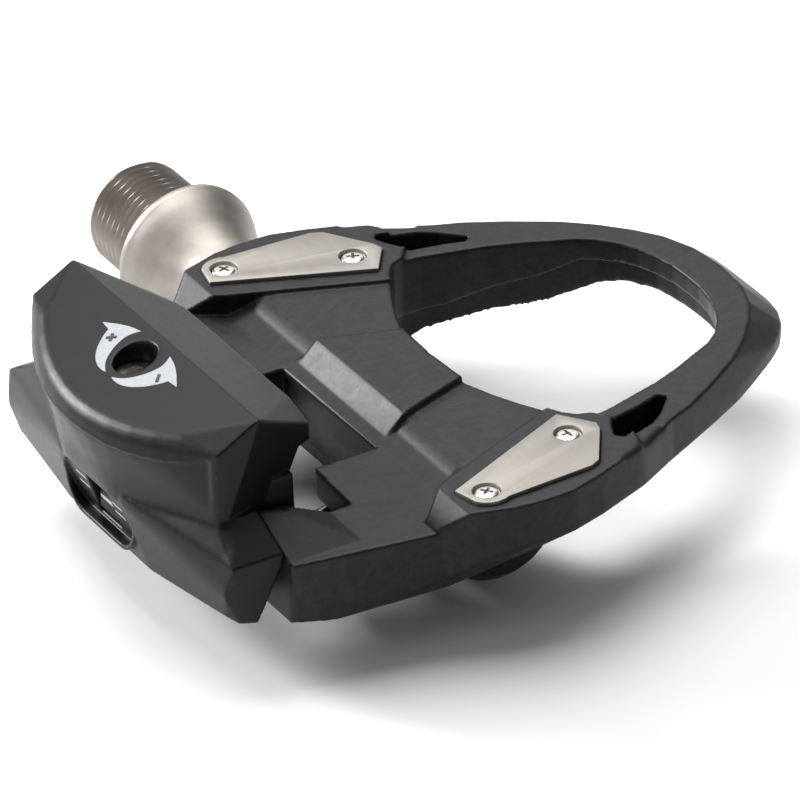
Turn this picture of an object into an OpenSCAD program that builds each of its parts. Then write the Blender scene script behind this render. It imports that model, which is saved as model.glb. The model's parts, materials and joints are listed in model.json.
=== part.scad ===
// Road clipless pedal, right-hand side: composite loop body on a steel spindle,
// with a sprung rear claw whose release tension is set by a bolt in its top.
// +X points forward, +Y towards the crank, +Z up.  The spindle runs along Y and
// the origin is on its axis, at the shoulder that seats against the crank.

/* [Spindle] */
// Distance from the crank face to the middle of the pedal body
stance = 52; // [51:0.5:54]
// Outside diameter of the crank thread
thread_d = 14.288; // [14.288]
// Length of the crank thread
thread_len = 13.8; // [12:0.2:14.6]
// Diameter of the shoulder that seats against the crank
shoulder_d = 19.2; // [18:0.2:20]
// Width across the flats of the hex socket in the thread end
socket_af = 8; // [8]
// Depth of the hex socket
socket_depth = 9; // [7:0.5:10]

/* [Body] */
// Height of the pad tops above the spindle axis
pad_top = 8.5; // [8:0.1:9]
// Height of the saddle and the loop above the spindle axis
deck_top = 8; // [7.5:0.1:8]
// Height of the raised centre block above the spindle axis
block_top = 8.8; // [8.6:0.1:9.2]
// Height of the rear arms above the spindle axis
arm_top = 5.7; // [5.2:0.1:6]
// Radius of the housing around the spindle
barrel_r = 8.7; // [8.5:0.1:9]
// Foremost point of the loop
nose_x = 50.4; // [50:0.1:51]

/* [Plates and screws] */
// Thickness of the wear plates
plate_t = 1.2; // [0.8:0.1:1.4]
// How far the wear plates stand above their pads
plate_proud = 0.4; // [0.2:0.1:0.6]
// Diameter of the plate screw heads
screw_head_d = 3.4; // [3.2:0.1:3.6]

/* [Claw] */
// Diameter of the claw's hinge pin
pin_d = 4; // [3.6:0.2:4.2]
// Diameter of the tool hole in the claw top
tool_hole_d = 5.4; // [5:0.1:6]

/* [Hidden] */
$fn = 64;

yc = -stance;
charcoal = [0.16, 0.165, 0.18];
steel = [0.62, 0.60, 0.57];
bright = [0.80, 0.80, 0.79];

// Spindle stations along Y, and radii
bulb_end = -13.5;
seal_r = 5.2;
seal_end = -23;
needle_race_r = 4.6;
needle_zone_end = -44;
ball_race_r = 3.7;
ball_zone_end = -64;
stud_r = 3;
stud_end = -74;
body_in = -15.6;
bore_r = 7.1;
bore_end = -75;
sleeve_r = 7.05;
sleeve_bore = 6.5;
sleeve_in = -23.2;
sleeve_out = -71;

// Rolling elements
ball_r = 1.19;
roll_gap = 0.02;
ball_pitch = ball_race_r + ball_r + roll_gap;
ball_count = 12;
ball_in = -48;
ball_out = -66.5;
needle_r = 0.75;
needle_pitch = needle_race_r + needle_r + roll_gap;
needle_count = 14;
needle_in = -26;
needle_len = 14;

// Claw hinge, relative to the body's middle plane
pin_x = -25.5;
pin_z = 1;
pin_bore = pin_d / 2 + 0.03;
bolt_x = -34.1;

// ---------------------------------------------------------------- helpers

// Solid of revolution about the Y axis from points [radius, y]
module turned(points, fn = 96) {
    rotate([-90, 0, 0]) rotate_extrude($fn = fn) polygon(points);
}

// Round bar or ring along Y from y0 to y1
module bar(r, y0, y1, fn = 64) {
    translate([0, y1, 0]) rotate([90, 0, 0]) cylinder(h = y1 - y0, r = r, $fn = fn);
}

module ring(r, r_in, y0, y1, fn = 64) {
    difference() {
        bar(r, y0, y1, fn);
        bar(r_in, y0 - 1, y1 + 1, fn);
    }
}

// Side profile [x, z] made solid across the body, from v0 to v1
module across(points, v0, v1) {
    translate([0, v1, 0]) rotate([90, 0, 0]) linear_extrude(v1 - v0) polygon(points);
}

// Plan outline [x, v] made solid from z0 to z1
module upright(points, z0, z1) {
    translate([0, 0, z0]) linear_extrude(z1 - z0) polygon(points);
}

// Children placed on the body's middle plane, and mirrored about it
module at_middle() { translate([0, yc, 0]) children(); }
module both_sides() {
    children();
    mirror([0, 1, 0]) children();
}

// Half outline closed by its mirror image across the X axis
function mirrored(half) = concat(half, [for (i = [len(half) - 1 : -1 : 0]) [half[i][0], -half[i][1]]]);

// Points on a circular arc
function arc(cx, cy, r, a0, a1, n) =
    [for (i = [0 : n]) let (a = a0 + (a1 - a0) * i / n) [cx + r * cos(a), cy + r * sin(a)]];

// ---------------------------------------------------------------- spindle

module spindle() {
    color(steel) difference() {
        turned([[0, thread_len], [thread_d / 2 - 1, thread_len], [thread_d / 2, thread_len - 1],
                [thread_d / 2, 0], [shoulder_d / 2 - 0.2, 0],
                [shoulder_d / 2, -0.3], [shoulder_d / 2 - 0.15, -1.2], [8.95, -2.6], [8.1, -4.3],
                [7.2, -6], [6.45, -7.8], [5.95, -9.6], [5.75, -11.4], [5.7, bulb_end],
                [seal_r, bulb_end - 0.7], [seal_r, seal_end], [needle_race_r, seal_end - 0.6],
                [needle_race_r, needle_zone_end], [ball_race_r, needle_zone_end - 0.9],
                [ball_race_r, ball_zone_end], [stud_r, ball_zone_end - 0.7],
                [stud_r, stud_end + 0.5], [stud_r - 0.5, stud_end], [0, stud_end]]);
        translate([0, thread_len - socket_depth, 0]) rotate([-90, 0, 0])
            cylinder(h = socket_depth + 1, d = socket_af / cos(30), $fn = 6);
    }
}

module outboard_cone() {
    color(steel) ring(ball_race_r, stud_r + 0.02, -69, -65);
}

module tab_washer() { color(bright) ring(4.2, stud_r + 0.05, -69.9, -69.05); }

module lock_nut() {
    color(steel) difference() {
        translate([0, -69.95, 0]) rotate([90, 0, 0]) cylinder(h = 3, d = 10 / cos(30), $fn = 6);
        bar(stud_r + 0.02, -74, -69);
    }
}

module balls(y) {
    color(bright) for (i = [0 : ball_count - 1])
        rotate([0, 360 * i / ball_count, 0]) translate([ball_pitch, y, 0]) sphere(ball_r, $fn = 24);
}
module balls_inboard() { balls(ball_in); }
module balls_outboard() { balls(ball_out); }

module needle_rollers() {
    color(bright) for (i = [0 : needle_count - 1])
        rotate([0, 360 * i / needle_count, 0]) translate([needle_pitch, 0, 0])
            bar(needle_r, needle_in - needle_len, needle_in, 24);
}

// The cage: two rings joined by a bar between each pair of rollers
module needle_cage() {
    y0 = needle_in - needle_len;
    color("dimgray") {
        ring(6.05, 4.7, y0 - 1.1, y0 - 0.1);
        ring(6.05, 4.7, needle_in + 0.1, needle_in + 1.1);
        for (i = [0 : needle_count - 1])
            rotate([0, 360 * (i + 0.5) / needle_count, 0]) translate([5.3, y0 - 0.5, -0.2])
                cube([0.5, needle_len + 1, 0.4]);
    }
}

// ---------------------------------------------------------------- housing parts

module cup(y0, y1, yb) {
    color(steel) difference() {
        bar(sleeve_bore - 0.01, y0, y1);
        bar(5.3, y0 - 1, y1 + 1);
        bar(ball_pitch + ball_r + roll_gap, yb - ball_r - 0.1, yb + ball_r + 0.1);
    }
}
module cup_inboard() { cup(ball_in - 2.6, ball_in + 2.2, ball_in); }
module cup_outboard() { cup(ball_out - 2.4, ball_out + 2.6, ball_out); }
module needle_race() {
    color(steel) ring(sleeve_bore - 0.01, needle_pitch + needle_r + roll_gap,
                      needle_in - needle_len - 1.4, needle_in + 1.4);
}
module axle_sleeve() { color("silver") ring(sleeve_r, sleeve_bore, sleeve_out, sleeve_in); }

// Threaded collar that keeps the axle unit in the body, with tool notches in its face
module lock_bolt() {
    color([0.1, 0.1, 0.11]) difference() {
        bar(sleeve_r, sleeve_in + 0.05, body_in - 0.3);
        bar(6.3, body_in - 4.5, body_in + 1);
        bar(5.6, sleeve_in - 1, body_in);
        for (a = [0 : 45 : 315]) rotate([0, a, 0])
            translate([6.5, body_in - 1.8, -0.6]) cube([2, 3, 1.2]);
    }
}
module seal_ring() {
    color([0.05, 0.05, 0.05]) ring(6.28, seal_r + 0.05, body_in - 4.4, body_in - 1.2);
}

// ---------------------------------------------------------------- body

// Half of the body's outer plan, from the rear arm to the nose
pad_edge = [[-9.2, 34.9], [-4, 36.6], [0, 37.1], [4, 37], [8.6, 35.6], [16, 32.7]];
rail_edge = [[19.9, 30.2], [22.6, 28.6], [26.3, 27], [31.1, 24.7], [35.8, 22.1], [40, 19.2]];
nose_edge = [[42.9, 17.1], [45, 15.5], [47, 13.6], [48.7, 11.3], [49.8, 8.8], [50.3, 6.2], [nose_x, 3],
             [nose_x, 0]];
arm_edge = [[-30.3, 0], [-30.3, 29.6], [-11.8, 32.8]];
// The same edge along the top of the nose, where the bevel begins
nose_top_edge = [[22.6, 28.6], [30.5, 24.4], [36, 20.6], [39.6, 17.2], [42.6, 13.6], [44.9, 10], [46.4, 5.6],
                 [46.9, 0]];
// And along the underside, where the outer bevel ends
under_edge = [[-30.3, 28.2], [-12, 29], [0, 27.4], [16, 22.4], [30, 16], [44, 8], [46, 0]];

// Half of the loop's window, from its rear edge to its front
window_half = [[5.7, 0], [6.1, 7.1], [7.6, 11.5], [9.2, 15.2], [11, 18.6], [12, 20.6], [13.2, 21.9],
               [14.8, 22.5], [17.3, 22.2], [21.6, 21], [25.5, 19.9], [29.5, 18.3], [32.7, 16.7],
               [35.6, 15.3], [37.6, 13.7], [39.4, 11.4], [40.6, 9], [41.5, 6], [42, 3], [42.1, 0]];
// Side view of the whole body: arms, deck, loop, and the nose that slopes down
body_side = [[-30.5, -2.6], [-26, -3.2], [0, -4], [16, -4.6], [24, -3.8], [31, -2.2], [40, 1.2],
             [47, 2.4], [nose_x, 3.2], [nose_x + 0.1, pad_top + 1], [-30.5, pad_top + 1]];
// Height at which the outer wall turns into the bevel of the underside, and into the nose bevel
ridge_z = 3;
nose_z = 4.6;

// Grip slots beside the plates
slot_half = [[17.2, 24.5], [21.4, 23.6], [24, 22.7], [24.9, 23.5], [22.2, 26.4], [20, 28], [16.6, 29.1],
             [15.2, 29.6], [14.4, 28.6], [15.2, 26.8], [16.1, 25.2]];
module loop_slots() { both_sides() upright(slot_half, 2.5, 12); }

module centre_block() {
    intersection() {
        upright([[-9, 11.2], [-3.9, 10.7], [6.1, 7.1], [6.1, -7.1], [-3.9, -10.7], [-9, -11.2]], 0, 12);
        across([[-8.5, 0], [-8.5, 4.6], [-3.9, block_top], [7, block_top], [7, 0]], -12, 12);
    }
}

// Outer shape: full plan between the two ridges, narrower below and at the nose above
module bevelled_plan() {
    full = concat(arm_edge, pad_edge, rail_edge, nose_edge);
    intersection() {
        upright(mirrored(full), -6, 12);
        hull() {
            upright(mirrored(full), ridge_z, nose_z);
            upright(mirrored(under_edge), -4.8, -4.7);
            upright(mirrored(concat(arm_edge, pad_edge, nose_top_edge)), deck_top - 0.1, deck_top);
            upright(mirrored(concat(arm_edge, pad_edge)), pad_top, pad_top + 1);
        }
    }
}

module deck_and_pads() {
    // deck behind the window, falling to the shelf, with the loop in front of it
    across([[-8.5, -6], [-8.5, arm_top], [-7.9, arm_top], [-2.3, deck_top], [60, deck_top], [60, -6]], -40, 40);
    // shelf and arms
    upright([[-31, 40], [-5, 40], [-5, -40], [-31, -40]], -6, arm_top);
    // pads, with a sloped rear end
    intersection() {
        both_sides() upright(concat(pad_edge, [[17.5, 26], [14.8, 22.5], [13.2, 21.9], [11, 18.6],
                                               [-8, 26.6], [-12.4, 29.6], [-12.4, 33]]), -3, pad_top);
        across([[-12.6, -6], [-12.6, arm_top], [-9, pad_top], [30, pad_top], [30, -6]], -40, 40);
    }
    // raised ends of the arms, falling outwards, that meet the claw's feet
    both_sides() intersection() {
        across([[-31, 0], [-31, 9.2], [-26.5, 8.6], [-20.5, arm_top], [-20.5, 0]], 20, 32);
        translate([-31, 21, 9.3]) rotate([-24, 0, 0]) translate([0, 0, -12]) cube([12, 14, 12]);
    }
}

module body_cuts() {
    upright(mirrored(window_half), -20, 20);
    // the window's wall steps back below the lip that the cleat hooks under
    intersection() {
        upright(mirrored([[12, 0], [12.5, 22.6], [15, 23.6], [18, 23.4], [26, 21.2], [33, 18.2],
                          [38.4, 15.2], [41.2, 12], [42.6, 8], [43.2, 4], [43.4, 0]]), -20, 20);
        across([[10, -20], [10, -0.2], [20, 0.4], [27, 2.1], [31.6, 3.2], [36, 5], [46, 5.6], [46, -20]], -30, 30);
    }
    // bay for the claw between the arms, and the pit in front of it
    upright([[-40, 21], [-17.5, 21], [-17, 11.3], [-8.5, 11.3], [-8.5, -11.3], [-17, -11.3],
             [-17.5, -21], [-40, -21]], -20, 20);
    both_sides() across([[-18, -20], [-18, 1.6], [-8.5, 1.6], [-8.5, -20]], 11, 17);
    loop_slots();
}

module body() {
    color(charcoal) difference() {
        union() {
            at_middle() difference() {
                union() {
                    intersection() {
                        bevelled_plan();
                        across(body_side, -40, 40);
                        deck_and_pads();
                    }
                    centre_block();
                }
                body_cuts();
            }
            // spindle housing with a rounded outboard end, flat on top
            intersection() {
                turned([[0, body_in], [barrel_r, body_in], [barrel_r, -75.6], [8.2, -77.4], [7, -78.8],
                        [5, -79.7], [0, -80]]);
                translate([-20, -100, -20]) cube([40, 100, 20 + deck_top - 0.1]);
            }
        }
        bar(bore_r, bore_end, body_in + 5, 96);
        translate([pin_x, 0, pin_z]) bar(pin_d / 2 + 0.01, yc - 26.5, yc + 40);
        plate_pockets();
        screw_holes();
    }
}

// ---------------------------------------------------------------- plates and screws

screw_rear = [-5.14, 31.9];
screw_front = [9.68, 25.79];
// The screws stop above the axle bore
screw_tip_z = 6.4;
plate_half = concat([[-8.26, 29.83], [10.75, 21.24], [13.77, 25.6], [13.4, 27], [9.56, 33.1], [8.2, 33.8]],
                    arc(-5, 31.9, 2.9, 60, 150, 5));

module plate_outline(side, z0, z1) {
    translate([0, yc, 0]) mirror([0, side > 0 ? 0 : 1, 0]) translate([0, 0, z0])
        linear_extrude(z1 - z0) polygon(plate_half);
}
module plate_pockets() {
    for (side = [-1, 1]) plate_outline(side, pad_top + plate_proud - plate_t, 20);
}
module screw_holes() {
    for (side = [-1, 1], p = [screw_rear, screw_front])
        translate([p[0], yc + side * p[1], screw_tip_z - 0.2]) cylinder(h = 5, r = 1.15, $fn = 32);
}
module plate(side) {
    top = pad_top + plate_proud;
    color(bright) difference() {
        plate_outline(side, top - plate_t, top);
        for (p = [screw_rear, screw_front]) translate([p[0], yc + side * p[1], 0]) {
            cylinder(h = 20, r = 1.25, $fn = 32);
            translate([0, 0, top - 0.75]) cylinder(h = 2, d = screw_head_d + 0.1, $fn = 32);
        }
    }
}
module plate_inboard() { plate(1); }
module plate_outboard() { plate(-1); }

module plate_screws() {
    top = pad_top + plate_proud;
    color(bright) for (side = [-1, 1], p = [screw_rear, screw_front])
        translate([p[0], yc + side * p[1], 0]) difference() {
            union() {
                translate([0, 0, screw_tip_z]) cylinder(h = top - screw_tip_z - 0.4, r = 1.1, $fn = 32);
                translate([0, 0, top - 0.7]) cylinder(h = 0.65, d = screw_head_d, $fn = 32);
            }
            for (a = [0, 90]) rotate([0, 0, a + 30]) translate([-0.9, -0.2, top - 0.6]) cube([1.8, 0.4, 2]);
        }
}

// ---------------------------------------------------------------- claw

// Rear edge of the claw's top, seen from above
function rear_x(v) = -43.7 + 8.9 * pow(v / 23, 2);

module claw_cap() {
    rim_r = 3.2;
    hull() {
        // crease across the top, front edge and front corners
        translate([-30.3, -23, 22.1]) cube([0.2, 46, 0.1]);
        translate([-20.8, -12.8, 17.2]) cube([0.2, 25.6, 0.2]);
        both_sides() translate([-21.2, 17.6, 14.3]) cube([0.3, 0.4, 2.2]);
        // rounded rear rim and the sharper side corners
        for (v = [-17 : 3.4 : 17]) translate([rear_x(v) + rim_r, v, 15.4 + 0.006 * v * v])
            sphere(rim_r, $fn = 28);
        both_sides() translate([-35.8, 22.2, 10]) cube([1, 0.8, 9.2]);
        // side faces and rear wall run down into the skirt
        both_sides() translate([-24.6, 17.4, 10.4]) cube([0.5, 0.5, 0.5]);
        both_sides() translate([-29.6, 19.6, 6.4]) cube([0.5, 0.5, 0.5]);
        both_sides() translate([-35, 20.6, 4]) cube([0.5, 0.5, 0.5]);
        translate([-40.6, -6, 4]) cube([0.5, 12, 0.5]);
    }
}

// Lower wall that spreads out into a foot on each side
module claw_skirt() {
    hull() {
        both_sides() translate([-35.9, 22.2, 9.5]) cube([5, 0.6, 0.6]);
        both_sides() translate([-37.2, 27.6, 5.4]) cube([6.8, 0.5, 1.4]);
        both_sides() translate([-38, 26.2, 2.6]) cube([6, 1, 1.4]);
        both_sides() translate([-37.4, 24.8, -0.6]) cube([5, 1, 0.8]);
        both_sides() translate([-36.2, 26.4, -1.4]) cube([3, 0.8, 1]);
        translate([-41.1, -8, 7]) cube([1, 16, 1]);
        translate([-38.9, -10, -1.8]) cube([1, 20, 1]);
        both_sides() translate([-33.6, 18, -2.2]) cube([1, 9, 1]);
        both_sides() translate([-31.2, 19.6, 7.6]) cube([0.7, 0.5, 0.9]);
    }
}

// Upright oval, long way across, made solid from x0 to x1
module oval(half_w, r, x0, x1) {
    translate([x0, 0, window_z]) rotate([0, 90, 0]) linear_extrude(x1 - x0)
        polygon(concat(arc(0, half_w, r, 0, 180, 16), arc(0, -half_w, r, 180, 360, 16)));
}
window_z = 3.3;

module claw() {
    color(charcoal) at_middle() difference() {
        union() {
            claw_cap();
            // feet, with a slanted joint line against the arms
            difference() {
                claw_skirt();
                both_sides() across([[-30.5, 20], [-30.5, 5.7], [-33.7, -2], [-34.6, -6], [-10, -6], [-10, 20]],
                                    20.4, 40);
            }
            // cheeks that carry the hinge pin
            both_sides() across(concat([[-35, -1.4], [-31.5, -3]], arc(pin_x, pin_z, 4, -90, 60, 8),
                                       [[-24.6, 7], [-24.6, 12], [-36, 12]]), 14, 20.4);
            // lip round the lower half of the indicator window
            oval(4.5, 4.3, -40.1, -37);
        }
        // hollow for the springs and the tension nut
        across([[-36.8, -8], [-37.2, 0], [-38.4, 8], [-40, 14.5], [-28, 14.5], [-26, 10.5], [-19, 9.5],
                [-19, -8]], -13.9, 13.9);
        // undercut of the front lip, which holds the cleat
        across([[-19, 14.2], [-22.8, 14.2], [-24.4, 11], [-24.4, 8], [-15, 8], [-15, 14.2]], -25, 25);
        translate([pin_x, 30, pin_z]) rotate([90, 0, 0]) cylinder(h = 60, r = pin_bore);
        // tool hole and bolt seat
        translate([bolt_x, 0, 16.6]) cylinder(h = 10, d = tool_hole_d);
        translate([bolt_x, 0, 13]) cylinder(h = 5, r = 2.1);
        // indicator window: an oval recess with a slot through it that shows the nut
        intersection() {
            oval(4.4, 3.7, -46, -36);
            across([[-50, -10], [-37.6, -10], [-38.6, 0], [-41.4, 9], [-50, 9]], -20, 20);
        }
        translate([-46, -2.6, window_z - 3.2]) cube([20, 5.2, 6.4]);
    }
}

module pivot_pin() {
    color(steel) translate([pin_x, 0, pin_z]) bar(pin_d / 2, yc - 26.4, yc + 28.6);
}

// Torsion spring: a close-wound coil round the hinge pin.  The inner end runs back under
// the tension nut and the outer end runs forward under the body's shelf.
spring_wire = 2;
spring_coil_r = 3.9;
spring_turns = 5;
spring_pitch = 2.05;
spring_start = 4;

// Straight leg in the plane of one turn, from below the coil to the point [x, z]
module spring_leg(v, x, z) {
    dx = x - pin_x;
    dz = z - (pin_z - spring_coil_r);
    translate([pin_x, v, pin_z - spring_coil_r]) rotate([0, 90 - atan2(dz, dx), 0])
        cylinder(h = norm([dx, dz]), r = spring_wire / 2 - 0.02, $fn = 20);
}
module spring(side) {
    spring_end = spring_start + spring_pitch * (spring_turns - 1);
    color(bright) at_middle() {
        for (i = [0 : spring_turns - 1])
            translate([pin_x, side * (spring_start + spring_pitch * i), pin_z]) rotate([90, 0, 0])
                rotate_extrude($fn = 48) translate([spring_coil_r, 0]) circle(spring_wire / 2 + 0.04, $fn = 20);
        spring_leg(side * spring_start, -35, -0.5);
        spring_leg(side * spring_end, -13.4, 0.2);
    }
}
module spring_inboard() { spring(1); }
module spring_outboard() { spring(-1); }
module spring_spacer() {
    color("gray") at_middle() translate([pin_x, 0, pin_z]) difference() {
        bar(2.8, -13.4, 13.4);
        bar(pin_bore, -14, 14);
    }
}

module tension_bolt() {
    color(bright) at_middle() translate([bolt_x, 0, 0]) difference() {
        union() {
            translate([0, 0, -1.5]) cylinder(h = 18.5, r = 2);
            translate([0, 0, 16.7]) cylinder(h = 2.2, r = 2.55);
        }
        translate([0, 0, 17.2]) cylinder(h = 5, d = 2.5 / cos(30), $fn = 6);
    }
}
module bolt_retainer() {
    color("silver") at_middle() translate([bolt_x, 0, 13.6]) difference() {
        cylinder(h = 0.8, r = 3.2);
        translate([0, 0, -1]) cylinder(h = 3, r = 2.05);
    }
}
// Nut block that the springs bear on, with the pointer that shows in the window
module tension_nut() {
    color("dimgray") at_middle() difference() {
        union() {
            translate([-36.7, -9, 0.8]) cube([5.7, 18, 3.8]);
            translate([-38.8, -2.2, 1]) cube([3, 4.4, 2.4]);
        }
        translate([bolt_x, 0, -2]) cylinder(h = 10, r = 2.05);
    }
}

spindle();
outboard_cone();
tab_washer();
lock_nut();
body();
plate_inboard();
plate_outboard();
plate_screws();
lock_bolt();
seal_ring();
axle_sleeve();
cup_inboard();
cup_outboard();
needle_race();
balls_inboard();
balls_outboard();
needle_rollers();
needle_cage();
claw();
pivot_pin();
spring_inboard();
spring_outboard();
spring_spacer();
tension_bolt();
bolt_retainer();
tension_nut();
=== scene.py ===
# %% [markdown]
# # A clipless road pedal
# The pedal is a stiff moulded body that turns on a steel spindle. A sprung claw at the rear and a
# hooked loop at the front hold a cleat between them. The CAD model already has every part in its
# place, so this lesson gives the visible parts their moulded edges, thread, print and finishes.
# It starts by loading the CAD model, which never moves.

# %% Load the frame
import bpy
import json
import math
from mathutils import Matrix, Vector


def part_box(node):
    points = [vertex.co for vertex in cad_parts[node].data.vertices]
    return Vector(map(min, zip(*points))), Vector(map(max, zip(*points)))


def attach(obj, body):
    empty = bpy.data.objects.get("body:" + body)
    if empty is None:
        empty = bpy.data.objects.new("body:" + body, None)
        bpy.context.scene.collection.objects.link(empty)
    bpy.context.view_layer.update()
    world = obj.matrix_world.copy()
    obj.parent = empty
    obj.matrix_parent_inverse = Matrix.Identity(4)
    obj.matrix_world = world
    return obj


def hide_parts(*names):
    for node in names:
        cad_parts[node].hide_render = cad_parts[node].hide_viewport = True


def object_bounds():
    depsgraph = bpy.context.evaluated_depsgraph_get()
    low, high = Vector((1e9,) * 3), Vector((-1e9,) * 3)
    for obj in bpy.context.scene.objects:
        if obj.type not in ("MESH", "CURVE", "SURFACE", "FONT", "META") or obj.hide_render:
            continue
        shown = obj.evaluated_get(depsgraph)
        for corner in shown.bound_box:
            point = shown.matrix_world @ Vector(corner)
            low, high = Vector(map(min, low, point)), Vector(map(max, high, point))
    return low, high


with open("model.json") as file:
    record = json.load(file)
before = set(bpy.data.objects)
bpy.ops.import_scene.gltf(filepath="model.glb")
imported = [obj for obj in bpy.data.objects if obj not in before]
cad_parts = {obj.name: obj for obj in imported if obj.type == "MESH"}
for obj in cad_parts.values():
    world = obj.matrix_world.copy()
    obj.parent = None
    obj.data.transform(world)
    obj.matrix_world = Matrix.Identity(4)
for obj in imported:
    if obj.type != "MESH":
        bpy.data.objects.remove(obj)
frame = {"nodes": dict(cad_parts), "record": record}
cad_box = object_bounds()
MM = 0.001
MIDDLE_Y = -52.0        # centre plane of the pedal, in mm from the spindle's shoulder
print("loaded", len(frame["nodes"]), "nodes; box in mm",
      [[round(c / MM, 1) for c in corner] for corner in cad_box])

# %% [markdown]
# ## Small helpers
# Blender's operators act on whatever is selected, so each step first selects one piece alone.
# A modifier is added, set and applied in one go, because a finished piece should be a plain mesh
# that looks the same in every program.

# %% Selecting and applying
def only(piece):
    bpy.ops.object.select_all(action="DESELECT")
    piece.select_set(True)
    bpy.context.view_layer.objects.active = piece
    return piece


def apply(piece, kind, **settings):
    only(piece)
    modifier = piece.modifiers.new(kind.lower(), kind)
    for key, value in settings.items():
        setattr(modifier, key, value)
    bpy.ops.object.modifier_apply(modifier=modifier.name)
    return piece


def edit(piece, *steps):
    """Runs edit mode steps on the whole of one piece."""
    only(piece)
    bpy.ops.object.mode_set(mode="EDIT")
    bpy.ops.mesh.select_all(action="SELECT")
    for step in steps:
        step()
    bpy.ops.object.mode_set(mode="OBJECT")
    return piece


def merge():
    bpy.ops.mesh.remove_doubles(threshold=0.002 * MM)


def outward():
    bpy.ops.mesh.normals_make_consistent(inside=False)


def smooth_by_angle(piece, degrees):
    only(piece)
    bpy.ops.object.shade_smooth_by_angle(angle=math.radians(degrees))


def report(piece):
    low, high = [[round(pick(v.co[i] for v in piece.data.vertices) / MM, 1) for i in range(3)]
                 for pick in (min, max)]
    print(piece.name, len(piece.data.polygons), "faces", low, high)
    return piece


def new_mesh(name, points, edges=(), faces=()):
    """A piece from points in mm, in the pedal's own frame."""
    mesh = bpy.data.meshes.new(name)
    mesh.from_pydata([[c * MM for c in p] for p in points], list(edges), list(faces))
    piece = bpy.data.objects.new(name, mesh)
    bpy.context.collection.objects.link(piece)
    return piece

# %% [markdown]
# ## Copying a moulded CAD part
# The body and the claw are injection moulded in a fibre-filled plastic, so no edge on them is
# sharp: the mould's corners leave radii of a few tenths of a millimetre. A bevel modifier can't
# follow so many slanted faces that meet at odd angles. A remesh of a copy can: its sharp mode turns
# the shape into small even quads and keeps the corners, and a few rounds of smoothing then round
# every edge alike, inside and outside corners both. The flat faces stay flat.

# %% Moulded copy of a node
def moulded(name, node, rounds):
    source = frame["nodes"][node]
    piece = bpy.data.objects.new(name, source.data.copy())
    piece.data.materials.clear()
    bpy.context.collection.objects.link(piece)
    edit(piece, merge)
    apply(piece, "REMESH", mode="SHARP", octree_depth=8, scale=0.95, sharpness=1.0,
          use_remove_disconnected=False, use_smooth_shade=True)
    apply(piece, "SMOOTH", factor=0.5, iterations=rounds)
    only(piece)
    bpy.ops.object.shade_smooth()
    return piece

# %% [markdown]
# ## The body
# One moulding holds the spindle, carries both wear plates and ends in the front loop. Where the
# plate pads run out into the loop, and along the loop's lower edge, the real mould is blended more
# softly than elsewhere, so two vertex groups mark those places for more rounds of smoothing.

# %% Body
body_shell = moulded("body_shell", "body", 5)
# Where the two soft places lie, in mm: the pads' ends lie outside a slanted line across the body
PAD_END_X = 12.5, 21
PAD_END_OUTSIDE = 40.2
PAD_END_SLANT = 0.55
PAD_END_ABOVE = 3
LOOP_FROM_X = 9
LOOP_BELOW = 2.5
pad_ends = body_shell.vertex_groups.new(name="pad_ends")
loop_foot = body_shell.vertex_groups.new(name="loop_foot")
for vertex in body_shell.data.vertices:
    x, y, z = [c / MM for c in vertex.co]
    outer = abs(y - MIDDLE_Y) + PAD_END_SLANT * x
    if PAD_END_X[0] < x < PAD_END_X[1] and outer > PAD_END_OUTSIDE and z > PAD_END_ABOVE:
        pad_ends.add([vertex.index], 1.0, "REPLACE")
    if x > LOOP_FROM_X and z < LOOP_BELOW:
        loop_foot.add([vertex.index], 1.0, "REPLACE")
apply(body_shell, "SMOOTH", factor=0.5, iterations=40, vertex_group="pad_ends")
apply(body_shell, "SMOOTH", factor=0.5, iterations=20, vertex_group="loop_foot")
body_shell.vertex_groups.clear()
report(body_shell)

# %% [markdown]
# ## The claw
# The claw's rear rim is a wide soft roll. Below it runs a fine parting step, where two slides of
# the mould meet, and the wall below flares out into the two feet that meet the arms. The flare is
# made by smoothing only that region of the mesh many times, through a vertex group. The step is
# a move of single vertices: those just under the line go in by a little, and a narrow band on the
# line comes out, which gives the thin bright edge.

# %% Claw shell
claw_shell = moulded("claw_shell", "claw", 6)


def ramp(value, start, end):
    """0 before start, 1 after end, and smooth between."""
    t = min(1.0, max(0.0, (value - start) / (end - start)))
    return t * t * (3 - 2 * t)


def soft_region(x, v, z):
    """How strongly the foot flare is smoothed at a point."""
    across = max(ramp(abs(v), 9, 13), ramp(z, 8.5, 10)) * (1 - ramp(abs(v), 25.4, 26.8))
    return across * ramp(-x, 34.4, 35.6) * ramp(z, -0.5, 1.0) * (1 - ramp(z, 16, 18.5))


flare = claw_shell.vertex_groups.new(name="flare")
for vertex in claw_shell.data.vertices:
    x, y, z = [c / MM for c in vertex.co]
    weight = soft_region(x, y - MIDDLE_Y, z)
    if weight > 0:
        flare.add([vertex.index], weight, "REPLACE")
apply(claw_shell, "SMOOTH", factor=0.5, iterations=60, vertex_group="flare")
claw_shell.vertex_groups.clear()

# Height of the parting step along the rear wall, from the middle out to the corner
STEP_HEIGHT = [(0, 15.7), (8, 15.7), (11, 15.9), (14, 16.2), (16.5, 16.6), (19, 17.2), (20.7, 17.9),
               (22.4, 18.7)]
STEP_IN = 0.34          # how far the wall under the step lies back, in mm
STEP_BEAD = 0.12        # how far the thin edge on the step stands out
BEAD_HALF = 0.35        # half the height of that edge
REAR_WALL_X = -33       # the step is only behind this plane,
REAR_FACING = -0.35     # on faces that look to the rear
claw_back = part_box("claw")[0][0]


def step_height(v):
    for (v0, z0), (v1, z1) in zip(STEP_HEIGHT, STEP_HEIGHT[1:]):
        if v0 <= v <= v1:
            return z0 + (z1 - z0) * (v - v0) / (v1 - v0)
    return None


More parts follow.
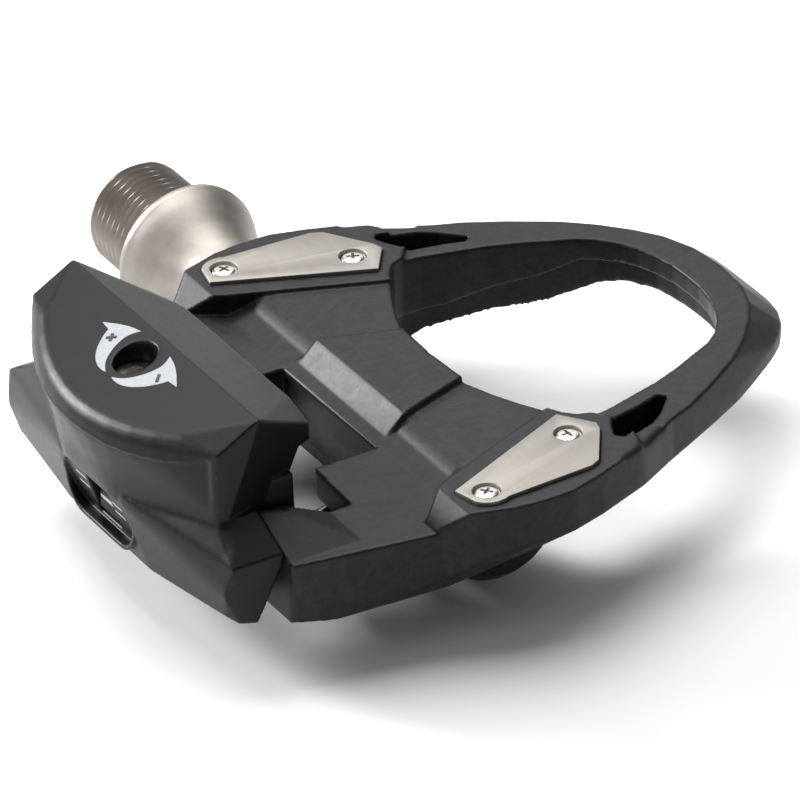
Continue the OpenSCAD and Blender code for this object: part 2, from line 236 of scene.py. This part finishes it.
# the normals are read before the first move, because each move makes Blender work them all out again
facing = [vertex.normal.x for vertex in claw_shell.data.vertices]
for vertex in claw_shell.data.vertices:
    x, y, z = [c / MM for c in vertex.co]
    v = y - MIDDLE_Y
    line = step_height(abs(v))
    if line is None or facing[vertex.index] > REAR_FACING or x > REAR_WALL_X:
        continue
    fade = (1 - ramp(abs(v), 21.2, 22.4)) * ramp(-x, 34.6, 35.4)
    under = ramp(line - z, -0.05, 0.25) * (1 - ramp(line - z, 4, 9))
    bead = max(0.0, 1 - abs(z - line - 0.1) / BEAD_HALF)
    move = fade * (STEP_BEAD * bead - STEP_IN * under)
    vertex.co.x -= move * MM
    vertex.co.x = max(vertex.co.x, claw_back)
claw_shell.data.update()
report(claw_shell)

# %% [markdown]
# ## Turned parts
# A lathe makes the spindle, so the model does too: the outline of one side is spun round the
# spindle's axis. The neck's outline is rounded through its measured points with a curve that
# passes through every one of them.

# %% Spin a profile
def through(points, cuts=6):
    """Points of a smooth curve that passes through all the given ones."""
    ends = [points[0]] + list(points) + [points[-1]]
    out = []
    for a, b, c, d in zip(ends, ends[1:], ends[2:], ends[3:]):
        for i in range(cuts):
            t = i / cuts
            out.append([0.5 * (2 * b[k] + (c[k] - a[k]) * t + (2 * a[k] - 5 * b[k] + 4 * c[k] - d[k]) * t * t
                               + (3 * b[k] - a[k] - 3 * c[k] + d[k]) * t ** 3) for k in (0, 1)])
    return out + [list(points[-1])]


def spun(name, profile, axis_point, axis, steps):
    """profile is [distance from the axis, distance along it] in mm."""
    direction = Vector(axis)
    side = Vector((1, 0, 0)) if abs(direction.x) < 0.5 else Vector((0, 0, 1))
    points = [Vector(axis_point) + side * r + direction * h for r, h in profile]
    piece = new_mesh(name, points, edges=[(i, i + 1) for i in range(len(points) - 1)])
    edit(piece, lambda: bpy.ops.mesh.spin(steps=steps, angle=math.tau, center=[c * MM for c in axis_point],
                                          axis=axis), merge, outward)
    return piece


def cut(piece, tool, operation="DIFFERENCE"):
    apply(piece, "BOOLEAN", operation=operation, object=tool, solver="EXACT")
    bpy.data.objects.remove(tool, do_unlink=True)
    return piece

# %% [markdown]
# ## The spindle and its thread
# The crank end carries a 9/16 inch thread with 20 turns to the inch. A Screw modifier could make
# it, but then both ends would need closing by hand. Instead the spun bar gets a ring of vertices
# every tenth of a turn, and each vertex moves in or out by where it stands along the helix, which
# leaves one closed solid. The crests are rounded, as a rolled thread's are, and the thread fades
# out at the shoulder and at the chamfered end.

# %% Spindle
THREAD_RADIUS = 7.144
THREAD_PITCH = 25.4 / 20
THREAD_DEPTH = 0.82
THREAD_END = 13.8
CHAMFER = 1.0
RINGS_A_TURN = 10       # rings of vertices along one pitch
NECK = [[9.45, -1.2], [8.95, -2.6], [8.1, -4.3], [7.2, -6], [6.45, -7.8], [5.95, -9.6], [5.75, -11.4],
        [5.7, -13.5]]
BEARING_SEATS = [[5.2, -14.2], [5.2, -23], [4.6, -23.6], [4.6, -44], [3.7, -44.9], [3.7, -64], [3, -64.7],
                 [3, -73.5], [2.5, -74], [0, -74]]
SHOULDER = [[9.35, 0], [9.52, -0.05], [9.6, -0.2], [9.6, -0.9]]
thread_rings = [[THREAD_RADIUS, 0.02 + i * THREAD_PITCH / RINGS_A_TURN] for i in range(10 * RINGS_A_TURN)]
bar = [[r, h] for r, h in thread_rings if h < THREAD_END - CHAMFER]
profile = ([[0, THREAD_END], [5.2, THREAD_END], [THREAD_RADIUS - CHAMFER, THREAD_END]]
           + [[THREAD_RADIUS, THREAD_END - CHAMFER]] + bar[::-1] + SHOULDER + through(NECK)
           + BEARING_SEATS)
spindle_bar = spun("spindle_bar", profile, (0, 0, 0), (0, 1, 0), 144)


def thread_cut(x, y, z):
    """How far the helical groove cuts in at a point on the bar, in mm."""
    turn = math.atan2(z, x) / math.tau
    phase = (y / THREAD_PITCH + turn) % 1.0
    groove = 0.5 - 0.5 * math.cos(math.tau * phase)
    ends = ramp(y, 0.1, 0.7) * (1 - ramp(y, THREAD_END - CHAMFER - 0.1, THREAD_END - 0.2))
    return THREAD_DEPTH * groove ** 0.6 * ends


for vertex in spindle_bar.data.vertices:
    x, y, z = [c / MM for c in vertex.co]
    radius = math.hypot(x, z)
    if y > 0.05 and radius > 5.5:
        scale = (radius - thread_cut(x, y, z)) / radius
        vertex.co.x *= scale
        vertex.co.z *= scale

# %% [markdown]
# The hexagon socket for an 8 mm key is broached in the thread end. A six-sided prism is cut from
# the bar, and a wide shallow cone cut leaves the lead-in that guides the key.

# %% Hexagon socket
HALF_KEY = 4            # half the width of the key, in mm
bpy.ops.object.select_all(action="DESELECT")
bpy.ops.mesh.primitive_cylinder_add(vertices=6, radius=HALF_KEY / math.cos(math.pi / 6) * MM, depth=10 * MM,
                                    location=(0, (THREAD_END - 4) * MM, 0), rotation=(math.pi / 2, 0, 0))
hexagon = bpy.context.object
bpy.ops.object.transform_apply(location=True, rotation=True, scale=True)
cut(spindle_bar, hexagon)
lead_in = spun("lead_in", [[0, THREAD_END - 2], [3.6, THREAD_END - 1], [5.1, THREAD_END + 0.5],
                           [0, THREAD_END + 0.5]], (0, 0, 0), (0, 1, 0), 48)
cut(spindle_bar, lead_in)
edit(spindle_bar, merge)
smooth_by_angle(spindle_bar, 35)
report(spindle_bar)

# %% [markdown]
# ## Wear plates
# The two plates are stamped from stainless sheet 1.2 mm thick and take the rub of the cleat. A
# stamped edge is slightly rolled on top. Copies of the CAD plates are cleaned to flat faces, and a
# bevel that only takes edges of more than 30 degrees rolls the rims and the screw seats alike.

# %% Plates
def plate(name, node):
    piece = bpy.data.objects.new(name, frame["nodes"][node].data.copy())
    piece.data.materials.clear()
    bpy.context.collection.objects.link(piece)
    edit(piece, merge, lambda: bpy.ops.mesh.dissolve_limited(angle_limit=math.radians(1)))
    apply(piece, "BEVEL", width=0.16 * MM, segments=3, limit_method="ANGLE", angle_limit=math.radians(32))
    smooth_by_angle(piece, 30)
    return report(piece)


inboard_wear_plate = plate("inboard_wear_plate", "plate_inboard")
outboard_wear_plate = plate("outboard_wear_plate", "plate_outboard")

# %% [markdown]
# ## Plate screws
# Four cross-recessed pan head screws hold the plates. One is made in full, its dome spun and its
# cross cut by two crossed blades that narrow downwards, and the other three are copies of its
# mesh, each turned a little differently, as real screws end up.

# %% One screw and three copies
SCREW_HEAD_RADIUS = 1.7
SCREW_TOP = 8.86
SCREW_TIP = 6.4
# x and distance from the centre plane in mm, and how far each screw is turned in degrees
SCREW_PLACES = [(-5.14, 31.9, 20), (9.68, 25.79, 64), (-5.14, -31.9, 38), (9.68, -25.79, 5)]
SHANK_RADIUS = 1.05
# from the middle of the dome down to the tip
head = [[0, SCREW_TOP], [0.5, SCREW_TOP], [0.9, SCREW_TOP - 0.03], [1.2, SCREW_TOP - 0.09],
        [1.45, SCREW_TOP - 0.2], [1.6, SCREW_TOP - 0.36], [SCREW_HEAD_RADIUS, SCREW_TOP - 0.46],
        [SCREW_HEAD_RADIUS, SCREW_TOP - 0.62], [SHANK_RADIUS, SCREW_TOP - 0.66],
        [SHANK_RADIUS, SCREW_TIP + 0.3], [0.8, SCREW_TIP], [0, SCREW_TIP]]


def cross_blade(angle):
    """One wing pair of the cross recess, narrower at the bottom."""
    half, width, low, top = 0.95, 0.2, SCREW_TOP - 0.62, SCREW_TOP + 0.3
    corners = [(-half * k, s * width * k ** 0.5, h) for h, k in ((low, 0.45), (top, 1.1)) for s in (-1, 1)]
    corners += [(half * k, s * width * k ** 0.5, h) for h, k in ((low, 0.45), (top, 1.1)) for s in (-1, 1)]
    turn = Matrix.Rotation(angle, 3, "Z")
    faces = [(0, 1, 5, 4), (2, 6, 7, 3), (0, 4, 6, 2), (1, 3, 7, 5), (0, 2, 3, 1), (4, 5, 7, 6)]
    return edit(new_mesh("cross_blade", [turn @ Vector(c) for c in corners], faces=faces), outward)


first_screw = spun("plate_screw", head, (0, 0, 0), (0, 0, 1), 48)
for angle in (0, math.pi / 2):
    cut(first_screw, cross_blade(angle))
edit(first_screw, merge)
smooth_by_angle(first_screw, 35)
screws = []
for number, (x, v, degrees) in enumerate(SCREW_PLACES, 1):
    screw = bpy.data.objects.new("plate_screw_%d" % number, first_screw.data.copy())
    bpy.context.collection.objects.link(screw)
    turn = Matrix.Rotation(math.radians(degrees), 4, "Z")
    screw.data.transform(Matrix.Translation((x * MM, (MIDDLE_Y + v) * MM, 0)) @ turn)
    screws.append(report(screw))
bpy.data.objects.remove(first_screw, do_unlink=True)

# %% [markdown]
# ## Printed marks
# The claw's top has two curved arrows printed round the tool hole: clockwise tightens the
# spring, so that arrow carries a plus and the other a minus. Pad print is a film of ink a few
# hundredths of a millimetre thick. Each arrow is a strip of small quads whose inner and outer
# radius change with the angle, laid on the sloping top, pressed onto the claw by a shrinkwrap
# and given the ink's thickness.

# %% Arrow strips
HOLE = Vector((-34.1, MIDDLE_Y, 20.97))     # middle of the tool hole, on the claw's top
SLOPE = math.radians(18.2)                  # how steeply the top falls to the rear
ALONG = Vector((math.cos(SLOPE), 0, math.sin(SLOPE)))
UP = Vector((-math.sin(SLOPE), 0, math.cos(SLOPE)))
INK = 0.05              # thickness of the ink
STRIP_ROWS = 6          # quads across an arrow
# angle in degrees, inner and outer radius in mm, from the tail to the arrow's point
ARROW = [(170, 4.25, 4.28), (162, 4.15, 4.55), (150, 4.05, 4.95), (135, 3.95, 5.45), (120, 3.9, 5.95),
         (105, 4.0, 6.55), (92, 4.15, 7.25), (89.5, 4.2, 7.4), (88.5, 4.2, 9.2), (84, 4.3, 8.15),
         (76, 4.4, 6.8), (68, 4.4, 5.75), (61, 4.4, 4.95), (55, 4.4, 4.45)]
RING_SHIFT = 0.35       # how far the print stands forward of the hole, in mm


def on_top(r, degrees, mirror):
    """A point on the claw's sloping top, r mm from the middle of the print."""
    a = math.radians(degrees)
    return HOLE + ALONG * (RING_SHIFT + r * math.cos(a)) + Vector((0, mirror * r * math.sin(a), 0))


def press_on(piece, target, direction, lift):
    """Lays a flat strip on a piece, facing the direction, and gives it the thickness of ink."""
    apply(piece, "SHRINKWRAP", target=target, wrap_method="NEAREST_SURFACEPOINT", wrap_mode="ABOVE_SURFACE",
          offset=lift * MM)
    if sum((p.normal * p.area for p in piece.data.polygons), Vector()).dot(direction) < 0:
        edit(piece, bpy.ops.mesh.flip_normals)
    return apply(piece, "SOLIDIFY", thickness=INK * MM, offset=-1)


def arrow(name, mirror):
    columns = []
    for (a0, i0, o0), (a1, i1, o1) in zip(ARROW, ARROW[1:]):
        parts = max(1, round(abs(a1 - a0) / 3))
        columns += [(a0 + (a1 - a0) * k / parts, i0 + (i1 - i0) * k / parts, o0 + (o1 - o0) * k / parts)
                    for k in range(parts)]
    columns.append(ARROW[-1])
    points = [on_top(i + (o - i) * k / STRIP_ROWS, a, mirror) for a, i, o in columns
              for k in range(STRIP_ROWS + 1)]
    step = STRIP_ROWS + 1
    faces = [(c * step + k, c * step + k + 1, (c + 1) * step + k + 1, (c + 1) * step + k)
             for c in range(len(columns) - 1) for k in range(STRIP_ROWS)]
    return press_on(new_mesh(name, points, faces=faces), claw_shell, UP, 0.02)


def bar_mark(name, centre, length_way, width_way, length, width, target, lift=0.02, parts=8):
    """A short printed bar: length and width in mm, along two directions in its surface."""
    points = [centre + length_way * (length * (i / parts - 0.5)) + width_way * (width * (k - 0.5))
              for i in range(parts + 1) for k in (0, 1)]
    faces = [(2 * i, 2 * i + 1, 2 * i + 3, 2 * i + 2) for i in range(parts)]
    return press_on(new_mesh(name, points, faces=faces), target, length_way.cross(width_way), lift)


ACROSS = Vector((0, 1, 0))
tighten_arrow = report(arrow("tighten_arrow", 1))
loosen_arrow = report(arrow("loosen_arrow", -1))
FIRST, SECOND = (ALONG + ACROSS).normalized(), (ALONG - ACROSS).normalized()
plus_centre, minus_centre = on_top(5.75, 95, 1), on_top(5.9, 95, -1)
SIGN = 1.35, 0.36       # length and width of a sign's bar, in mm
marks = [bar_mark("plus_mark_a", plus_centre, FIRST, SECOND, *SIGN, claw_shell, 0.05),
         bar_mark("plus_mark_b", plus_centre, SECOND, -FIRST, *SIGN, claw_shell, 0.06),
         bar_mark("minus_mark", minus_centre, FIRST, SECOND, *SIGN, claw_shell, 0.05)]

# %% [markdown]
# The tension window has three ticks on each side, printed in the same white, and the nut inside
# carries a longer pointer bar that rises and falls past them.

# %% Ticks and pointer
TICK_HEIGHTS = (3.3, 4.65, 6.0)
TICK = 2.5, 0.3         # length and width of a tick, in mm
POINTER = 4.1, 0.45     # length and width of the pointer bar
UPRIGHT = Vector((0, 0, 1))
ticks = []
for side, label in ((1, "inboard"), (-1, "outboard")):
    for number, height in enumerate(TICK_HEIGHTS, 1):
        centre = Vector((-39.4 - 0.3 * (height - 3.3), MIDDLE_Y + side * 4.5, height))
        ticks.append(bar_mark("tick_%s_%d" % (label, number), centre, -ACROSS, UPRIGHT, *TICK, claw_shell))
nut_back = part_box("tension_nut")[0][0] / MM
pointer_centre = Vector((nut_back - 0.01, MIDDLE_Y, 2.6))
pointer = bar_mark("nut_pointer", pointer_centre, -ACROSS, UPRIGHT, *POINTER, frame["nodes"]["tension_nut"])
report(pointer)

# %% [markdown]
# ## Springs
# Two torsion springs sit on the hinge pin. Their wire is 2 mm thick and wound in a close helix,
# with one leg that bears on the body in front and one that pushes up on the tension nut behind.
# A curve with a round section follows the helix and is then turned into a mesh. The rear leg is
# its own piece because it follows the claw when the claw opens.

# %% Wound wire
PIN = (-25.5, 1.0)
COIL_RADIUS = 3.9
WIRE_RADIUS = 1.0
COIL_START, COIL_PITCH, COIL_TURNS = 4.0, 2.05, 4
POINTS_A_TURN = 40


def wire(name, points):
    bpy.ops.object.select_all(action="DESELECT")
    curve = bpy.data.curves.new(name, "CURVE")
    curve.dimensions = "3D"
    spline = curve.splines.new("POLY")
    spline.points.add(len(points) - 1)
    for knot, point in zip(spline.points, points):
        knot.co = [c * MM for c in point] + [1]
    curve.bevel_depth = WIRE_RADIUS * MM
    curve.bevel_resolution = 3
    curve.use_fill_caps = True
    piece = bpy.data.objects.new(name, curve)
    bpy.context.collection.objects.link(piece)
    only(piece)
    bpy.ops.object.convert(target="MESH")
    piece = bpy.context.object
    piece.name = name
    edit(piece, merge)
    smooth_by_angle(piece, 50)
    return report(piece)


springs = []
for side, label in ((1, "inboard"), (-1, "outboard")):
    coil = []
    for i in range(COIL_TURNS * POINTS_A_TURN + 1):
        angle = math.tau * i / POINTS_A_TURN - math.pi / 2
        y = MIDDLE_Y + side * (COIL_START + COIL_PITCH * i / POINTS_A_TURN)
        coil.append((PIN[0] + COIL_RADIUS * math.cos(angle), y, PIN[1] + COIL_RADIUS * math.sin(angle)))
    coil.append((-13.4, MIDDLE_Y + side * (COIL_START + COIL_PITCH * COIL_TURNS), 0.2))
    leg_y = MIDDLE_Y + side * COIL_START
    leg = [(PIN[0], leg_y, PIN[1] - COIL_RADIUS), (-29, leg_y, -2.0), (-35, leg_y, -0.5)]
    springs.append((wire("spring_coil_" + label, coil), wire("spring_leg_" + label, leg), "spring_" + label))

# %% [markdown]
# ## Colour and node helpers
# Colours are written as the sRGB hex values a screen shows. The renderer works in linear light, so
# one function converts them. Another adds one shader node with its settings and links, so that
# each material below reads as a short list.

# %% Node helper
def linear(hex_colour):
    values = [int(hex_colour[i:i + 2], 16) / 255 for i in (1, 3, 5)]
    return tuple(c / 12.92 if c <= 0.04045 else ((c + 0.055) / 1.055) ** 2.4 for c in values) + (1.0,)


def add(material, kind, links=None, values=None, **settings):
    """Adds a node: links is socket -> output socket, values is socket -> number or colour."""
    made = material.node_tree.nodes.new("ShaderNode" + kind)
    for key, value in settings.items():
        setattr(made, key, value)
    for socket, value in (values or {}).items():
        made.inputs[socket].default_value = value
    for socket, output in (links or {}).items():
        material.node_tree.links.new(output, made.inputs[socket])
    return made


def start_material(name, **shader_values):
    material = bpy.data.materials.new(name)
    material.use_nodes = True
    shader = material.node_tree.nodes["Principled BSDF"]
    for socket, value in shader_values.items():
        shader.inputs[socket.replace("_", " ")].default_value = value
    place = add(material, "TexCoord").outputs["Object"]
    return material, shader, place


def band(material, source, stops):
    """A colour ramp with (position, hex colour or grey value) stops."""
    ramp_node = add(material, "ValToRGB", {"Fac": source})
    elements = ramp_node.color_ramp.elements
    while len(elements) < len(stops):
        elements.new(0.5)
    for element, (position, colour) in zip(elements, stops):
        element.position = position
        element.color = linear(colour) if isinstance(colour, str) else (colour, colour, colour, 1)
    return ramp_node.outputs["Color"]


def grain(material, place, size_mm, detail=4.0, roughness=0.55, distortion=0.0):
    """Noise whose features are about size_mm across."""
    return add(material, "TexNoise", {"Vector": place}, {"Scale": 1 / (size_mm * MM), "Detail": detail,
               "Roughness": roughness, "Distortion": distortion}).outputs["Fac"]


def span(material, source, low, high):
    return add(material, "MapRange", {"Value": source}, {"To Min": low, "To Max": high}).outputs["Result"]


def connect(material, output, shader, socket):
    material.node_tree.links.new(output, shader.inputs[socket])


def blend_colours(material, factor, first, second):
    mixed = add(material, "Mix", data_type="RGBA")
    for socket, source in ((0, factor), (6, first), (7, second)):
        if isinstance(source, str):
            mixed.inputs[socket].default_value = linear(source)
        elif isinstance(source, (int, float)):
            mixed.inputs[socket].default_value = source
        else:
            material.node_tree.links.new(source, mixed.inputs[socket])
    return mixed.outputs[2]

# %% [markdown]
# ## Fibre-filled nylon
# The body is nylon with short carbon fibres, injection moulded. The melt's flow leaves faint
# swirls where fibres lie in different directions, and the mould's fine texture gives a satin
# matte skin. Its edges are painted lighter: partly wear from handling, partly a painted highlight.
# The mottle is 1 to 2 mm across, the swirls are drawn as faint thin bands of a strongly distorted
# noise 9 mm across, and the fibres, really 0.01 mm thick, are drawn 0.3 mm wide so that they show
# at all. The specular level is below the plastic's own, because the fine texture shades itself.
# The claw's skin is finer and darker.

# %% Moulded composite
FLOW_MM = 9
FIBRE_MM = 0.3
WEAR_AND_HIGHLIGHT_BLEND = 0.12       # how gradually the edge wear and painted highlight fade in


def fibre_nylon(name, dark, light, edge, mottle_mm, swirl, texture_mm, rough, wear_and_highlight_start):
    material, shader, place = start_material(name, Specular_IOR_Level=0.2)
    mottle = grain(material, place, mottle_mm, 6, 0.62, 0.8)
    flow = grain(material, place, FLOW_MM, 3, 0.5, 3.2)
    fleck = grain(material, place, FIBRE_MM, 2, 0.6)
    base = band(material, mottle, [(0.3, dark), (0.72, light)])
    swirl_band = band(material, flow, [(0.4, 0.0), (0.5, 1.0), (0.6, 0.0)])
    swirled = blend_colours(material, span(material, swirl_band, 0, swirl), base, edge)
    flecked = blend_colours(material, span(material, fleck, 0.0, 0.35), swirled, dark)
    # Convex edges, found by pointiness, are painted lighter: partly wear from handling, partly a painted
    # highlight.
    point = add(material, "NewGeometry").outputs["Pointiness"]
    edge_wear_and_highlight = band(material, point, [(wear_and_highlight_start, 0.0), (wear_and_highlight_start + WEAR_AND_HIGHLIGHT_BLEND, 1.0)])
    patchy_wear_and_highlight = add(material, "Math", {0: edge_wear_and_highlight, 1: span(material, mottle, 0.1, 1.0)}, operation="MULTIPLY")
    worn_and_highlit = blend_colours(material, span(material, patchy_wear_and_highlight.outputs[0], 0, 0.75), flecked, edge)
    connect(material, worn_and_highlit, shader, "Base Color")
    connect(material, span(material, mottle, rough - 0.07, rough + 0.09), shader, "Roughness")
    texture = grain(material, place, texture_mm, 3, 0.6)
    bump = add(material, "Bump", {"Height": texture}, {"Strength": 0.32, "Distance": 0.04 * MM})
    connect(material, bump.outputs["Normal"], shader, "Normal")
    return material


body_nylon = fibre_nylon("moulded fibre nylon", "#121214", "#27282b", "#707174", mottle_mm=1.6, swirl=0.04,
                         texture_mm=0.35, rough=0.4, wear_and_highlight_start=0.55)
claw_nylon = fibre_nylon("fine grain moulded nylon", "#0f1011", "#161719", "#505255", mottle_mm=1.1,
                         swirl=0.0, texture_mm=0.22, rough=0.36, wear_and_highlight_start=0.6)

# %% [markdown]
# ## Metals
# The spindle is chrome-molybdenum steel, bead blasted and plated to a warm grey satin: a fine even
# pitting 0.15 mm across over a metal of medium roughness. The plates are stainless sheet with a
# faint brushing, and the screws are bright stainless. The tension nut is black oxide steel, so
# that its white pointer reads. A metal's colour is its reflection, so the tint goes in the base
# colour and the default IOR stays.

# %% Metal finishes
def metal(name, dark, light, rough, pit_mm, pit_depth_mm, patch_mm=3.0, brush=None):
    material, shader, place = start_material(name, Metallic=1.0)
    if brush:
        place = add(material, "Mapping", {"Vector": place}, {"Scale": brush}).outputs["Vector"]
    patches = grain(material, place, patch_mm, 5, 0.6)
    connect(material, band(material, patches, [(0.3, dark), (0.7, light)]), shader, "Base Color")
    connect(material, span(material, patches, rough - 0.05, rough + 0.07), shader, "Roughness")
    pits = grain(material, place, pit_mm, 3, 0.6)
    bump = add(material, "Bump", {"Height": pits}, {"Strength": 0.3, "Distance": pit_depth_mm * MM})
    connect(material, bump.outputs["Normal"], shader, "Normal")
    return material


blasted_steel = metal("bead blasted plated steel", "#948e88", "#a59f98", 0.5, 0.18, 0.02)
plate_steel = metal("brushed stainless sheet", "#918d87", "#9a9690", 0.56, 0.12, 0.006, 1.5, (1, 0.3, 1))
screw_steel = metal("bright stainless screw", "#c8c5c0", "#d8d6d2", 0.22, 0.2, 0.005)
bearing_steel = metal("ground bearing steel", "#b4b4b4", "#c8c8c8", 0.16, 0.2, 0.002)
zinc_steel = metal("zinc plated steel", "#9a9a98", "#b4b4b0", 0.34, 0.25, 0.01)
pin_steel = metal("turned steel pin", "#8e8e8e", "#a6a6a6", 0.3, 0.2, 0.008)
black_steel = metal("black oxide steel", "#1c1c1d", "#2a2a2b", 0.45, 0.25, 0.01)
spring_steel = metal("oil tempered spring wire", "#4a4a4b", "#68686a", 0.32, 0.2, 0.008)
sleeve_alloy = metal("turned aluminium sleeve", "#b2b3b5", "#c6c7c8", 0.3, 0.2, 0.006)

# %% [markdown]
# ## Ink, seal and resins
# White pad print is nearly matte and slightly uneven. The seal is black nitrile rubber, and the
# collar and the roller cage are plain moulded resins.

# %% Plastics and rubber
def plain_moulding(name, dark, light, rough, patch_mm, texture_mm, depth_mm):
    material, shader, place = start_material(name)
    patches = grain(material, place, patch_mm, 4, 0.6)
    connect(material, band(material, patches, [(0.3, dark), (0.7, light)]), shader, "Base Color")
    connect(material, span(material, patches, rough - 0.06, rough + 0.08), shader, "Roughness")
    texture = grain(material, place, texture_mm, 2)
    bump = add(material, "Bump", {"Height": texture}, {"Strength": 0.3, "Distance": depth_mm * MM})
    connect(material, bump.outputs["Normal"], shader, "Normal")
    return material


white_ink = plain_moulding("white pad print", "#9a9ca1", "#a6a8ad", 0.55, 0.6, 0.1, 0.005)
dark_ink = plain_moulding("charcoal pad print", "#26272a", "#303134", 0.6, 0.6, 0.1, 0.005)
seal_rubber = plain_moulding("nitrile rubber", "#0c0c0c", "#161616", 0.6, 0.8, 0.2, 0.01)
collar_resin = plain_moulding("collar resin", "#18191a", "#242526", 0.48, 1.5, 0.25, 0.01)
cage_resin = plain_moulding("roller cage nylon", "#b9ab8c", "#cdbf9f", 0.5, 1.5, 0.2, 0.01)

# %% [markdown]
# ## Finishes on pieces
# New pieces get one material each, and so does every CAD node that still shows or lies inside.

# %% Assign materials
def finish_with(piece, material):
    piece.data.materials.clear()
    piece.data.materials.append(material)


finish_with(body_shell, body_nylon)
finish_with(claw_shell, claw_nylon)
finish_with(spindle_bar, blasted_steel)
for piece in (inboard_wear_plate, outboard_wear_plate):
    finish_with(piece, plate_steel)
for piece in screws:
    finish_with(piece, screw_steel)
for piece in [tighten_arrow, loosen_arrow, pointer] + ticks:
    finish_with(piece, white_ink)
for piece in marks:
    finish_with(piece, dark_ink)
for coil, leg, node in springs:
    finish_with(coil, spring_steel)
    finish_with(leg, spring_steel)
SLOT_FINISH = {"blasted_steel": blasted_steel, "plate_steel": plate_steel, "screw_steel": screw_steel,
               "bearing_steel": bearing_steel, "zinc_steel": zinc_steel, "pin_steel": pin_steel,
               "spring_steel": spring_steel, "sleeve_alloy": sleeve_alloy, "collar_resin": collar_resin,
               "cage_resin": cage_resin, "seal_rubber": seal_rubber, "body_composite": body_nylon,
               "claw_composite": claw_nylon}
slot_of = {part["node"]: part["material_slot"] for part in frame["record"]["subparts"]}
for name, node in frame["nodes"].items():
    for material_slot in node.material_slots:
        material_slot.material = SLOT_FINISH[slot_of[name]]
for material_slot in frame["nodes"]["tension_nut"].material_slots:
    material_slot.material = black_steel
print("finishes used", sorted(set(slot_of.values())))

# %% [markdown]
# ## What moves with what
# Every new piece rides on the CAD body that carries the real part, and the CAD nodes it stands
# for, where it has any, are hidden.

# %% Riding
def stands_for(piece, body, slot, *nodes):
    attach(piece, body)
    if nodes:
        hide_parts(*nodes)


stands_for(body_shell, "pedal_body", "body_composite", "body")
stands_for(claw_shell, "claw", "claw_composite", "claw")
stands_for(spindle_bar, "spindle", "blasted_steel", "spindle")
stands_for(inboard_wear_plate, "pedal_body", "plate_steel", "plate_inboard")
stands_for(outboard_wear_plate, "pedal_body", "plate_steel", "plate_outboard")
for piece in screws:
    stands_for(piece, "pedal_body", "screw_steel", "plate_screws")
for piece in [tighten_arrow, loosen_arrow] + marks + ticks:
    stands_for(piece, "claw", "claw_composite")
stands_for(pointer, "tension_nut", "zinc_steel")
for coil, leg, node in springs:
    stands_for(coil, "pedal_body", "spring_steel", node)
    stands_for(leg, "claw", "spring_steel", node)

# %% [markdown]
# ## Floor, light and camera
# A plain pale floor lies just under the lowest point. One large soft panel hangs overhead for the
# flat tops, a smaller and stronger one stands behind on the left for the highlight on the claw's
# rim, a third behind gives the wear plates something pale to mirror, and a weak one fills the
# rear. Panels are large against the pedal, so the shadows stay soft. The standard view transform
# keeps the floor white and the black plastic dark.

# %% Floor
bpy.ops.object.select_all(action="DESELECT")
bpy.ops.mesh.primitive_plane_add(size=6, location=(0, MIDDLE_Y * MM, cad_box[0][2] - 1.0 * MM))
floor = bpy.context.object
floor.name = "studio_floor"
floor_paint, floor_shader, floor_place = start_material("matte studio floor", Roughness=0.9,
                                                        Specular_IOR_Level=0.1)
floor_tone = band(floor_paint, grain(floor_paint, floor_place, 400), [(0.3, "#f4f4f4"), (0.7, "#f7f7f7")])
connect(floor_paint, floor_tone, floor_shader, "Base Color")
finish_with(floor, floor_paint)

# %% Lights
AIM = Vector((0, -0.05, 0))


def panel(name, place, size, power):
    light = bpy.data.lights.new(name, "AREA")
    light.shape = "RECTANGLE"
    light.size, light.size_y = size
    light.energy = power
    lamp = bpy.data.objects.new(name, light)
    bpy.context.collection.objects.link(lamp)
    lamp.location = place
    lamp.rotation_euler = (AIM - Vector(place)).to_track_quat("-Z", "Y").to_euler()


panel("overhead_panel", (0.10, 0.35, 0.95), (0.9, 0.9), 12.5)
panel("rim_panel", (-0.60, 0.85, 0.48), (0.35, 0.35), 20.0)
panel("back_panel", (0.55, 0.95, 0.58), (0.9, 0.5), 1.6)
panel("rear_panel", (-0.95, -0.10, 0.42), (0.35, 0.45), 1.0)
world = bpy.data.worlds.new("studio")
bpy.context.scene.world = world
world.use_nodes = True
sky = world.node_tree.nodes["Background"]
sky.inputs["Color"].default_value = (1, 1, 1, 1)
sky.inputs["Strength"].default_value = 0.2

# %% Camera
CAMERA_PLACE = (-0.417226, -0.815351, 0.512489)
CAMERA_AXES = ((0.86524, -0.49989, -0.03829), (0.28128, 0.42080, 0.86244), (-0.41502, -0.75699, 0.50470))
camera_data = bpy.data.cameras.new("studio_camera")
camera_data.lens = 375.06
camera_data.sensor_width = 36
camera_data.clip_start, camera_data.clip_end = 0.05, 20
camera = bpy.data.objects.new("studio_camera", camera_data)
bpy.context.collection.objects.link(camera)
right, above, back = [Vector(axis) for axis in CAMERA_AXES]
camera.matrix_world = Matrix([(right[i], above[i], back[i], CAMERA_PLACE[i]) for i in range(3)]
                             + [(0, 0, 0, 1)])
bpy.context.scene.camera = camera
bpy.context.scene.view_settings.view_transform = "Standard"
